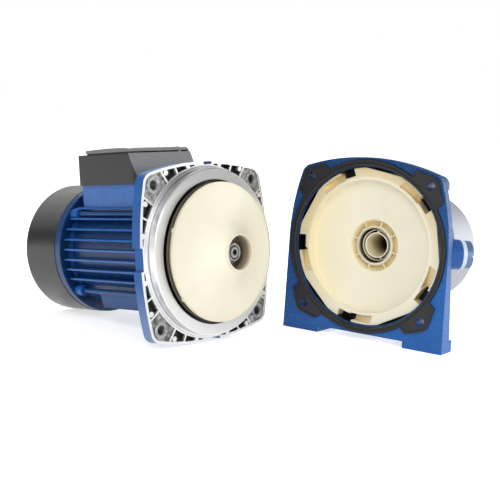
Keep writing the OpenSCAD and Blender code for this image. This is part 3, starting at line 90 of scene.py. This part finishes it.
class Mat:
    """A small builder of procedural node materials. Its sums take sockets or numbers."""

    SOCKETS = {"base": "Base Color", "rough": "Roughness", "metal": "Metallic", "spec": "Specular IOR Level",
               "coat": "Coat Weight", "coat_rough": "Coat Roughness", "sub": "Subsurface Weight",
               "sub_radius": "Subsurface Radius", "sub_scale": "Subsurface Scale"}

    def __init__(self, name):
        self.material = bpy.data.materials.new(name)
        self.material.use_nodes = True
        self.tree = self.material.node_tree
        self.tree.nodes.clear()
        self.output = self.new("OutputMaterial")
        self.shader = self.new("BsdfPrincipled")
        self.link(self.shader.outputs[0], self.output.inputs[0])
        self.space = {}

    def new(self, kind):
        return self.tree.nodes.new("ShaderNode" + kind)

    def link(self, a, b):
        self.tree.links.new(a, b)

    def feed(self, socket, value):
        """Links a socket or writes a number or colour."""
        if isinstance(value, bpy.types.NodeSocket):
            self.link(value, socket)
        else:
            socket.default_value = value

    def set(self, **values):
        for name, value in values.items():
            self.feed(self.shader.inputs[self.SOCKETS[name]], value)

    def local(self, half):
        """Coordinates in the motor's, the casing's or the row's own frame, in metres."""
        if half not in self.space:
            place = self.new("TexCoord")
            mapping = self.new("Mapping")
            inverse = HALVES[half].inverted()
            mapping.inputs["Rotation"].default_value = inverse.to_euler("XYZ")
            mapping.inputs["Location"].default_value = inverse.translation
            self.link(place.outputs["Object"], mapping.inputs["Vector"])
            self.space[half] = mapping.outputs[0]
        return self.space[half]

    def axes(self, half):
        """x, y and z in the half's own frame."""
        split = self.new("SeparateXYZ")
        self.link(self.local(half), split.inputs[0])
        return split.outputs[0], split.outputs[1], split.outputs[2]

    def radius(self, half):
        """Distance from the half's own axis."""
        x, y, _ = self.axes(half)
        return self.length(x, y)

    def facing(self, direction):
        """How far the surface faces a direction, from -1 to 1."""
        surface = self.new("NewGeometry")
        dot = self.new("VectorMath")
        dot.operation = "DOT_PRODUCT"
        self.link(surface.outputs["True Normal"], dot.inputs[0])
        dot.inputs[1].default_value = direction
        return dot.outputs["Value"]

    def math(self, operation, a, b=None):
        node = self.new("Math")
        node.operation = operation
        self.feed(node.inputs[0], a)
        if b is not None:
            self.feed(node.inputs[1], b)
        return node.outputs[0]

    def plus(self, a, b):
        return self.math("ADD", a, b)

    def minus(self, a, b):
        return self.math("SUBTRACT", a, b)

    def both(self, a, b):
        """Their product: 1 where both are 1."""
        return self.math("MULTIPLY", a, b)

    def either(self, a, b):
        """The larger of the two: 1 where one of them is 1."""
        return self.math("MAXIMUM", a, b)

    def size(self, a):
        return self.math("ABSOLUTE", a)

    def length(self, a, b):
        return self.math("SQRT", self.plus(self.both(a, a), self.both(b, b)))

    def ramp(self, value, span, low=0.0, high=1.0):
        """Goes from low to high while value goes from the first to the second number of span."""
        node = self.new("MapRange")
        node.clamp = True
        node.inputs["From Min"].default_value = span[0]
        node.inputs["From Max"].default_value = span[1]
        node.inputs["To Min"].default_value = low
        node.inputs["To Max"].default_value = high
        self.link(value, node.inputs["Value"])
        return node.outputs[0]

    def mix(self, share, a, b):
        """Colour a, or b where share is 1."""
        node = self.new("Mix")
        node.data_type = "RGBA"
        node.clamp_factor = True
        for place, value in ((0, share), (6, a), (7, b)):
            self.feed(node.inputs[place], value)
        return node.outputs[2]

    def blotched(self, noise, colour, dark, light):
        """A colour that the noise takes from dark to light times itself."""
        return self.mix(self.ramp(noise, BLOTCH), times(colour, dark), times(colour, light))

    def uneven(self, noise, rough, vary=0.12):
        """A roughness that the noise takes a share down and up."""
        return self.ramp(noise, BLOTCH, rough * (1 - vary), rough * (1 + vary))

    def noise(self, half, scale, detail=3.0, rough=0.55):
        """Noise in the half's own frame; scale is its waves in a metre."""
        node = self.new("TexNoise")
        node.inputs["Scale"].default_value = scale
        node.inputs["Detail"].default_value = detail
        node.inputs["Roughness"].default_value = rough
        self.link(self.local(half), node.inputs["Vector"])
        return node.outputs[0]

    def rings(self, half, scale, detail):
        """Fine rings about the half's axis, as a lathe leaves them."""
        node = self.new("TexNoise")
        node.noise_dimensions = "1D"
        node.inputs["Scale"].default_value = scale
        node.inputs["Detail"].default_value = detail
        self.link(self.radius(half), node.inputs["W"])
        return node.outputs[0]

    def bump(self, height, strength, depth, edge_r):
        """Relief of a depth in metres, with edges that look rounded to edge_r."""
        relief = self.new("Bump")
        relief.inputs["Strength"].default_value = strength
        relief.inputs["Distance"].default_value = depth
        self.link(height, relief.inputs["Height"])
        edge = self.new("Bevel")
        edge.samples = 6
        edge.inputs["Radius"].default_value = edge_r
        self.link(edge.outputs[0], relief.inputs["Normal"])
        self.link(relief.outputs[0], self.shader.inputs["Normal"])


def plain(name, half, colour, rough, metal=0.0, vary=0.12, scale=60.0, grain=0.15, depth=0.0002,
          edge_r=0.0004, grain_scale=900.0):
    """A material whose colour, gloss and surface vary a little by noise."""
    m = Mat(name)
    blotch = m.noise(half, scale, detail=4.0)
    m.set(base=m.blotched(blotch, colour, 1 - vary, 1 + vary), rough=m.uneven(blotch, rough), metal=metal)
    m.bump(m.noise(half, grain_scale), grain, depth, edge_r)
    return m.material


def turned(name, colour, rough, half="motor"):
    """Bright metal with fine turning marks about the axis."""
    m = Mat(name)
    marks = m.rings(half, scale=1800.0, detail=2.0)
    m.set(base=m.blotched(marks, colour, dark=0.85, light=1.1), rough=m.uneven(marks, rough, vary=0.15),
          metal=1.0)
    m.bump(marks, strength=0.1, depth=0.0002, edge_r=0.0003)
    return m.material


def blue_paint(name, level, dark=None):
    """Blue paint over the motor's castings; dark(m) is 1 where painted shade makes the blue dark."""
    m = Mat(name)
    cast = m.noise("motor", 300.0, detail=4.0, rough=0.6)
    wide = m.noise("motor", 30.0)
    base = m.blotched(wide, BLUE, dark=0.86 * level, light=1.14 * level)
    base = m.mix(m.ramp(cast, (0.35, 0.75), high=0.35), base, times(BLUE, 1.7 * level))
    # Painted shade: the blue goes dark where dark(m) is 1
    if dark:
        base = m.mix(dark(m), base, BLUE_SHADE)
    m.set(base=base, rough=m.ramp(cast, (0.25, 0.75), 0.28, 0.42), spec=0.30, coat=0.30, coat_rough=0.12)
    m.bump(cast, strength=0.55, depth=0.0010, edge_r=0.0008)
    return m.material


def housing_painted_shade(m):
    """Painted shade between the fins at the sides, and under the barrel."""
    fin_foot_r, fins_middle, fins_half, under = (0.0530, 0.0575), 0.004, (0.0440, 0.0470), (-0.040, -0.054)
    _, y, _ = m.axes("motor")
    at_foot = m.ramp(m.radius("motor"), fin_foot_r, low=0.72, high=0.0)
    at_side = m.ramp(m.size(m.minus(y, fins_middle)), fins_half, low=1.0, high=0.0)
    return m.either(m.both(at_foot, at_side), m.ramp(y, under, high=0.70))


def shield_painted_shade(m):
    """Painted shade inside the shield's rim."""
    rim_r = (0.0628, 0.0640)
    return m.ramp(m.radius("motor"), rim_r, low=0.90, high=0.0)


def casing_paint():
    """Grainy blue paint, with painted shade high up and to the left, and near-black painted shade in the
    bores of the dish.
    """
    high, left = (-0.03, 0.070), (0.0, -0.09)
    front_r, front_z = (0.0800, 0.0810), (-0.0022, -0.0030)
    rear_r, rear_z = (0.0722, 0.0728), (-0.0220, -0.0224)
    dish_shadow_black = (0.006, 0.006, 0.007, 1)
    m = Mat("blue_casing")
    x, y, z = m.axes("casing")
    r = m.radius("casing")
    cast = m.noise("casing", 300.0, detail=4.0, rough=0.6)
    wide = m.noise("casing", 26.0)
    grain = m.noise("casing", 640.0, rough=0.6)

    base = m.blotched(wide, BLUE, dark=1.05, light=1.40)
    # Painted shade high up and to the left
    shaded = m.either(m.ramp(y, high, high=0.90), m.ramp(x, left, high=0.50))
    base = m.mix(shaded, base, times(BLUE, 0.32))
    base = m.mix(m.ramp(grain, (0.46, 0.68), high=0.34), base, times(BLUE, 2.1))
    base = m.mix(m.ramp(grain, (0.50, 0.32), high=0.36), base, times(BLUE, 0.35))

    in_rear = m.ramp(z, rear_z)
    front_bore = m.both(m.ramp(r, front_r, low=1.0, high=0.0), m.ramp(z, front_z))
    rear_bore = m.both(m.ramp(r, rear_r, low=1.0, high=0.0), in_rear)
    # Near-black painted shade in the dish's bores
    inside = m.either(m.both(front_bore, m.minus(1.0, in_rear)), rear_bore)
    m.set(base=m.mix(inside, base, dish_shadow_black), rough=m.ramp(cast, (0.25, 0.75), 0.30, 0.46), spec=0.26,
          coat=0.08, coat_rough=0.25)
    m.bump(m.plus(m.both(grain, 0.8), m.both(cast, 0.4)), strength=0.8, depth=0.0019, edge_r=0.0008)
    return m.material


# Distance of the flange's bolt holes from its middle, across and up
BOLT_AT = 0.065


def bracket_edges(m):
    """1 on the outer walls of the bracket's flange: the bulged sides, the corners and the notches."""
    side_r, flange_half = 0.3, 0.0845
    side_wall = (side_r - 0.00035, side_r - 0.00015)
    corner_r, corner_line = (0.0117, 0.0119), (0.1410, 0.1414)
    notch_foot, notch_half = (0.0810, 0.0813), (0.01052, 0.01048)
    x, y, _ = m.axes("motor")
    across, up = m.size(x), m.size(y)

    def from_side_centre(out, along):
        """Distance from the centre of a bulged side's arc."""
        return m.length(m.plus(out, side_r - flange_half), along)

    def notch(out, along):
        return m.both(m.ramp(out, notch_foot), m.ramp(along, notch_half))

    sides = m.ramp(m.either(from_side_centre(across, y), from_side_centre(up, x)), side_wall)
    from_bolt = m.length(m.minus(across, BOLT_AT), m.minus(up, BOLT_AT))
    corners = m.both(m.ramp(from_bolt, corner_r), m.ramp(m.plus(across, up), corner_line))
    return m.either(m.either(sides, corners), m.either(notch(across, up), notch(up, across)))


def bracket_metal(m, marks, in_pocket):
    """Turned face and spigot, the spigot's top darkened as a painted reflection, dull round the bolt holes,
    and rough cast metal in the pockets, their floor near-black as painted shade.
    """
    spigot_r, spigot_reflection_y = (0.0815, 0.0800), (0.040, 0.074)
    dull_r, ledge_z = (0.0092, 0.0082), (-0.0017, -0.0030)
    x, y, z = m.axes("motor")
    bright = m.mix(m.ramp(marks, BLOTCH), (0.74, 0.745, 0.75, 1), (0.93, 0.935, 0.94, 1))
    # Painted reflection: the spigot's top goes darker
    top = m.both(m.ramp(y, spigot_reflection_y, high=0.80), m.ramp(m.radius("motor"), spigot_r))
    bright = m.mix(top, bright, (0.30, 0.30, 0.31, 1))

    from_bolt = m.length(m.minus(m.size(x), BOLT_AT), m.minus(m.size(y), BOLT_AT))
    dull = m.mix(m.ramp(m.noise("motor", 330.0, detail=4.0), (0.35, 0.65)),
                 (0.10, 0.10, 0.105, 1), (0.52, 0.52, 0.53, 1))
    bright = m.mix(m.ramp(from_bolt, dull_r, high=0.85), bright, dull)

    ledge = m.mix(m.ramp(m.noise("motor", 210.0, detail=5.0), (0.32, 0.68)),
                  (0.035, 0.034, 0.035, 1), (0.55, 0.53, 0.52, 1))
    # Painted shade: the pocket floor goes near-black
    floor = m.mix(m.ramp(m.noise("motor", 260.0, detail=5.0), (0.35, 0.7)),
                  (0.008, 0.009, 0.011, 1), (0.13, 0.132, 0.135, 1))
    return m.mix(in_pocket, bright, m.mix(m.ramp(z, ledge_z), ledge, floor))


def bracket_paint():
    """Machined face, cast pockets and an impeller recess painted black as shade, with blue paint outside and
    behind, paler low down as painted light.
    """
    pocket_z, face_z, relief_z = (-0.0004, -0.0009), (-0.0006, -0.0002), (-0.0012, -0.0003)
    recess_r, recess_z, bounce_light_y = (0.0678, 0.0676), (0.0104, 0.0102), (-0.020, -0.075)
    turned_metal, pocket_loss, pocket_rough = 0.70, 0.5, 0.22
    m = Mat("bracket_mix")
    _, y, z = m.axes("motor")
    marks = m.rings("motor", scale=2200.0, detail=4.0)
    in_pocket = m.ramp(z, pocket_z)
    recess_shadow = m.both(m.ramp(m.radius("motor"), recess_r), m.ramp(z, recess_z))
    # Painted shade: the impeller recess goes black
    inside = m.mix(recess_shadow, bracket_metal(m, marks, in_pocket), grey(0.006))

    behind_face = m.minus(1.0, m.ramp(z, face_z))
    on_back = m.ramp(m.facing(motor_z), (-0.5, -0.6))
    painted = m.either(m.both(bracket_edges(m), behind_face), on_back)
    paint = m.blotched(m.noise("motor", 30.0), BLUE, dark=0.9, light=1.1)
    # Painted light: the blue grows paler low down, as if lit from below
    paint = m.mix(m.ramp(y, bounce_light_y, high=0.42), paint, BLUE_BOUNCE_LIGHT)

    metal = m.minus(turned_metal, m.both(in_pocket, pocket_loss))
    metal = m.both(m.both(m.minus(1.0, painted), metal), m.minus(1.0, recess_shadow))
    m.set(base=m.mix(painted, inside, paint), metal=metal,
          rough=m.plus(m.ramp(marks, (0.2, 0.8), 0.30, 0.42), m.both(in_pocket, pocket_rough)))
    cast = m.both(m.noise("motor", 700.0, detail=4.0), m.ramp(z, relief_z, low=1.0, high=0.0))
    m.bump(m.plus(m.both(marks, 0.25), cast), strength=0.25, depth=0.0004, edge_r=0.0005)
    return m.material


def cream(name, half, shading):
    """Cream moulded plastic; the given function returns the base colour with its painted shade."""
    m = Mat(name)
    wide = m.noise(half, 26.0)
    fine = m.noise(half, 500.0, detail=2.0)
    base = m.mix(m.ramp(wide, (0.25, 0.75)), times(CREAM, 0.96), times(CREAM, 1.02))
    m.set(base=shading(m, base), rough=m.ramp(fine, (0.2, 0.8), 0.40, 0.52), spec=0.35,
          sub=0.10, sub_radius=(0.005, 0.0035, 0.002), sub_scale=1.0)
    m.bump(fine, strength=0.08, depth=0.0002, edge_r=0.0006)
    return m.material


def impeller_painted_shade(m, base):
    """Painted shade as a brown wall and black floor in the eye, greyer at the upper left and a dark back
    plate; and a warm rim.
    """
    eye_r, wall_z, floor_z, bottom_z = (0.0162, 0.0158), (0.0400, 0.0350), (0.0325, 0.0295), (0.0265, 0.0262)
    rim_r, upper_left_shade = (0.060, 0.066), (0.030, 0.090)
    plate_r, plate_z = (0.0630, 0.0634), (0.0145, 0.0142)
    r = m.radius("motor")
    x, y, z = m.axes("motor")
    in_eye = m.ramp(r, eye_r)
    # Painted shade down the eye's wall to its black floor
    wall = m.mix(m.ramp(z, wall_z), base, (0.230, 0.120, 0.042, 1))
    wall = m.mix(m.ramp(z, floor_z), wall, (0.004, 0.003, 0.002, 1))
    base = m.mix(in_eye, base, wall)
    base = m.mix(m.ramp(r, rim_r, high=0.35), base, display(236, 222, 186))
    # Painted shade at the upper left
    base = m.mix(m.ramp(m.minus(y, x), upper_left_shade, high=0.30), base, display(186, 178, 158))
    # Painted shade on the back plate
    plate = m.both(m.ramp(r, plate_r), m.ramp(z, plate_z, high=0.9))
    base = m.mix(plate, base, (0.020, 0.014, 0.007, 1))
    return m.mix(m.both(in_eye, m.ramp(z, bottom_z)), base, (0.010, 0.007, 0.004, 1))


def diffuser_painted_shade(m, base):
    """Painted shade: tan in the pocket ring and the rim's hollows, warm at the left and on top, black in the
    bore.
    """
    pocket_r, pocket_z, left = (0.0275, 0.0270), (-0.0190, -0.0225), (-0.015, -0.070)
    rim_r, rim_y = (0.0668, 0.0700), (-0.02, 0.05)
    hollow_r, hollow_z = (0.0664, 0.0668), (-0.0046, -0.0075)
    bore_r, bore_z = (0.0172, 0.0170), (-0.0265, -0.0330)
    r = m.radius("casing")
    x, y, z = m.axes("casing")
    pocket = m.both(m.ramp(r, pocket_r), m.ramp(z, pocket_z))
    base = m.mix(m.both(pocket, 0.62), base, TAN_SHADE)
    base = m.mix(m.ramp(x, left, high=0.60), base, CREAM_WARM_SHADE)
    rim_top_shade = m.both(m.ramp(r, rim_r), m.ramp(y, rim_y, high=0.62))
    base = m.mix(rim_top_shade, base, display(222, 198, 140))
    hollow = m.both(m.ramp(r, hollow_r), m.ramp(z, hollow_z))
    base = m.mix(m.both(hollow, 0.7), base, TAN_SHADE)
    bore = m.both(m.ramp(r, bore_r), m.ramp(z, bore_z))
    return m.mix(bore, base, (0.012, 0.008, 0.004, 1))


def tube_painted_shade(m, base):
    """Painted shade: tan behind the tube's mouth and brown deep inside."""
    mouth_z, deep_z = (-0.0254, -0.0300), (-0.0330, -0.0600)
    _, _, z = m.axes("casing")
    base = m.mix(m.ramp(z, mouth_z, high=0.50), base, TAN_SHADE)
    return m.mix(m.ramp(z, deep_z), base, BROWN_SHADE)


def moulded(name, colour, rough, painted_light, painted_light_level):
    """Black moulded plastic, paler where the given mask is 1, a painted highlight."""
    m = Mat(name)
    blotch = m.noise("motor", 120.0, detail=4.0)
    base = m.blotched(blotch, colour, dark=0.9, light=1.1)
    m.set(base=m.mix(painted_light(m), base, grey(painted_light_level)), rough=m.uneven(blotch, rough))
    m.bump(m.noise("motor", 1400.0, detail=2.0), strength=0.16, depth=0.0002, edge_r=0.0010)
    return m.material


def cover_painted_highlight(m):
    """Painted highlight on the top of the fan cover."""
    top = (0.020, 0.062)
    _, y, _ = m.axes("motor")
    return m.ramp(y, top, high=0.95)


def box_painted_light(m):
    """Painted light on the front of the terminal box, most of all near the lid."""
    front = (0.058, 0.084)
    _, y, _ = m.axes("motor")
    return m.both(m.ramp(m.facing(motor_z), (0.55, 0.80)), m.ramp(y, front, 0.10, 0.85))


def shaft_steel():
    """Steel with a dark centre hole in the shaft's front end, its near-black painted shade."""
    hole_r, hole_z = (0.0034, 0.0026), (0.0200, 0.0210)
    m = Mat("shaft_steel")
    _, _, z = m.axes("motor")
    marks = m.noise("motor", 400.0)
    hole = m.both(m.ramp(m.radius("motor"), hole_r), m.ramp(z, hole_z))
    steel = m.mix(m.ramp(marks, BLOTCH), (0.52, 0.53, 0.55, 1), (0.68, 0.69, 0.71, 1))
    m.set(base=m.mix(hole, steel, (0.01, 0.01, 0.012, 1)), rough=m.ramp(marks, BLOTCH, 0.22, 0.32),
          metal=m.minus(1.0, hole))
    m.bump(marks, strength=0.1, depth=0.0001, edge_r=0.0003)
    return m.material


# Each material, and the nodes that it covers
LOOKS = (
    (casing_paint(), "pump_casing"),
    (bracket_paint(), "motor_bracket"),
    (blue_paint("blue_motor", 1.12, housing_painted_shade), "motor_housing"),
    # The shield's low level and its dark inside are painted shade
    (blue_paint("blue_shield_shaded", 0.42, shield_painted_shade), "rear_shield"),
    # The tie rods' low level is painted shade
    (blue_paint("blue_rods_shaded", 0.55), "tie_rods"),
    (plain("tank_metal", "casing", display(156, 159, 166), 0.50, metal=0.20, vary=0.04, scale=22.0,
           grain=0.12, edge_r=0.0008), "priming_tank"),
    (plain("plug_paint", "casing", display(92, 120, 158), 0.36, metal=0.3),
     "gauge_plug", "filler_plug", "drain_plug"),
    (plain("washer_pale", "casing", display(214, 222, 228), 0.45), "gauge_washer"),

    (cream("cream_impeller", "motor", impeller_painted_shade), "impeller"),
    (cream("cream_diffuser", "casing", diffuser_painted_shade), "diffuser", "ejector_nozzle"),
    (cream("cream_tube", "casing", tube_painted_shade), "venturi_tube"),

    (moulded("cover_black", display(36, 36, 37), 0.27, cover_painted_highlight, 0.230), "fan_cover"),
    (moulded("box_black", display(22, 22, 23), 0.34, box_painted_light, 0.250),
     "terminal_box", "cable_gland", "gland_nut"),
    (plain("lid_grey", "motor", display(118, 118, 120), 0.50, vary=0.06, scale=120.0, grain=0.3,
           depth=0.0003, edge_r=0.0012, grain_scale=1400.0), "box_lid"),
    (plain("fan_grey", "motor", display(70, 72, 75), 0.5), "fan", "nut_lock_ring"),
    (plain("block_brown", "motor", display(92, 52, 30), 0.4), "terminal_block"),
    (plain("capacitor_white", "motor", display(224, 224, 220), 0.4, vary=0.04), "capacitor"),

    (shaft_steel(), "shaft"),
    (turned("steel_motor", STEEL, 0.26),
     "bearing_spring", "lid_screws", "impeller_key", "impeller_nut", "fan_clip"),
    (turned("steel_casing", STEEL, 0.26, half="casing"), "wear_ring", "tank_bolts"),
    # Dark steel for the washer is painted shade in the impeller's eye
    (turned("steel_washer_shade", (0.10, 0.10, 0.105, 1), 0.35), "impeller_washer"),
    (turned("bearing_steel", (0.66, 0.67, 0.70, 1), 0.12),
     "front_bearing_outer", "front_bearing_inner", "front_balls",
     "rear_bearing_outer", "rear_bearing_inner", "rear_balls"),
    (plain("stack_steel", "motor", (0.16, 0.165, 0.17, 1), 0.4, metal=0.9), "stator_core", "rotor_core"),
    (plain("alloy", "motor", (0.62, 0.63, 0.64, 1), 0.4, metal=1.0), "rotor_end_rings"),
    (plain("brass", "motor", (0.62, 0.43, 0.14, 1), 0.28, metal=1.0), "terminal_studs"),
    (plain("winding_copper", "motor", (0.42, 0.13, 0.05, 1), 0.35, metal=0.8, scale=300.0, grain=0.5,
           depth=0.0006), "stator_windings"),

    (plain("gasket_rubber", "casing", display(30, 30, 32), 0.55, vary=0.15, scale=200.0),
     "casing_gasket", "tank_seal", "filler_seal", "drain_seal"),
    (plain("seal_rubber", "motor", display(22, 22, 24), 0.6, vary=0.15, scale=200.0),
     "seal_cup", "box_gasket", "gland_seal"),
    (plain("seal_carbon", "motor", display(26, 26, 28), 0.35), "seal_head"),
    (plain("seal_ceramic", "motor", display(226, 222, 210), 0.25, vary=0.03), "seal_seat"),
)
for material, *covered in LOOKS:
    for name in covered:
        slots = nodes[name].data.materials
        slots.clear()
        slots.append(material)


def pale_floor():
    """A wide pale floor. The camera and gloss see it white further out, and it keeps the shadows."""
    side = 60
    glow, near_glow, white_from_to = 0.12, 0.62, (0.35, 1.4)
    m = Mat("floor_white")
    m.set(base=m.mix(m.noise("row", 3.0, detail=2.0), grey(0.90), grey(0.93)), rough=0.9, spec=0.0)
    path = m.new("LightPath")
    seen = m.either(path.outputs["Is Camera Ray"],
                    m.either(path.outputs["Is Glossy Ray"], path.outputs["Is Transmission Ray"]))
    seen_glow = m.ramp(m.radius("row"), white_from_to, near_glow, 1.0)
    emission = m.new("Emission")
    emission.inputs["Color"].default_value = WHITE
    m.link(m.plus(glow, m.both(seen, m.minus(seen_glow, glow))), emission.inputs["Strength"])
    total = m.new("AddShader")
    m.link(m.shader.outputs[0], total.inputs[0])
    m.link(emission.outputs[0], total.inputs[1])
    m.link(total.outputs[0], m.output.inputs[0])
    bpy.ops.mesh.primitive_plane_add(size=side, location=(0, 0, 0))
    floor = bpy.context.object
    floor.name = "floor"
    floor.data.materials.append(m.material)


def soft_world():
    """Even white light from all round, which the camera sees as full white."""
    light, seen = 0.34, 1.0
    world = bpy.data.worlds.new("studio")
    bpy.context.scene.world = world
    world.use_nodes = True
    tree = world.node_tree
    tree.nodes.clear()
    path = tree.nodes.new("ShaderNodeLightPath")
    choice = tree.nodes.new("ShaderNodeMixShader")
    output = tree.nodes.new("ShaderNodeOutputWorld")
    tree.links.new(path.outputs["Is Camera Ray"], choice.inputs[0])
    for place, strength in ((1, light), (2, seen)):
        background = tree.nodes.new("ShaderNodeBackground")
        background.inputs["Color"].default_value = WHITE
        background.inputs["Strength"].default_value = strength
        tree.links.new(background.outputs[0], choice.inputs[place])
    tree.links.new(choice.outputs[0], output.inputs[0])


# Camera as fitted to the photograph: its place in metres, and its turn, tilt and roll in degrees
CAMERA_AT = (0.4534, -0.9029, 0.2067)
CAMERA_TURN, CAMERA_DOWN, CAMERA_ROLL = 34.10, 7.21, 3.30


def view_axes():
    """The picture's right, down and forward directions."""
    turn, tilt, roll = (math.radians(v) for v in (CAMERA_TURN, CAMERA_DOWN, CAMERA_ROLL))
    forward = Vector((-math.sin(turn) * math.cos(tilt), math.cos(turn) * math.cos(tilt), -math.sin(tilt)))
    level = Vector((math.cos(turn), math.sin(turn), 0))
    below = forward.cross(level)
    right = level * math.cos(roll) - below * math.sin(roll)
    down = level * math.sin(roll) + below * math.cos(roll)
    return right, down, forward


def photo_camera(right, down, forward):
    data = bpy.data.cameras.new("camera")
    data.lens = 72.0
    data.sensor_width = 36.0
    data.clip_start = 0.05
    data.clip_end = 100.0
    camera = bpy.data.objects.new("camera", data)
    bpy.context.collection.objects.link(camera)
    camera.matrix_world = Matrix((right, -down, -forward)).transposed().to_4x4()
    camera.location = CAMERA_AT
    bpy.context.scene.camera = camera


# Each light's direction as the picture's right, up and towards the camera, its distance, width and
# height in metres, and its level, which is what a white surface that faces it would show
LIGHTS = (
    ("key", (-0.25, 0.60, 0.80), 2.6, 1.5, 1.5, 0.40),
    ("front_right", (0.60, 0.25, 0.76), 2.6, 1.2, 1.2, 0.27),
    ("right_strip", (0.92, 0.10, -0.36), 2.0, 0.8, 1.7, 0.85),
    ("back_top", (-0.25, 0.74, -0.62), 2.2, 1.0, 1.0, 0.50),
)
MIDDLE = Vector((-0.05, -0.09, 0.09))


def soft_light(right, forward, name, direction, distance, width, height, level):
    """A soft rectangular light that faces the middle of the row."""
    side, up, back = Vector(direction).normalized() * distance
    level_side = Vector((right.x, right.y, 0)).normalized()
    level_back = Vector((-forward.x, -forward.y, 0)).normalized()
    data = bpy.data.lights.new(name, "AREA")
    data.shape = "RECTANGLE"
    data.size = width
    data.size_y = height
    data.energy = level * math.pi ** 2 * distance ** 2
    light = bpy.data.objects.new(name, data)
    bpy.context.collection.objects.link(light)
    light.location = MIDDLE + level_side * side + Vector((0, 0, up)) + level_back * back
    light.rotation_euler = (MIDDLE - light.location).to_track_quat("-Z", "Y").to_euler()


pale_floor()
soft_world()
view_right, view_down, view_forward = view_axes()
photo_camera(view_right, view_down, view_forward)
for row in LIGHTS:
    soft_light(view_right, view_forward, *row)

bpy.context.scene.view_settings.view_transform = "Standard"
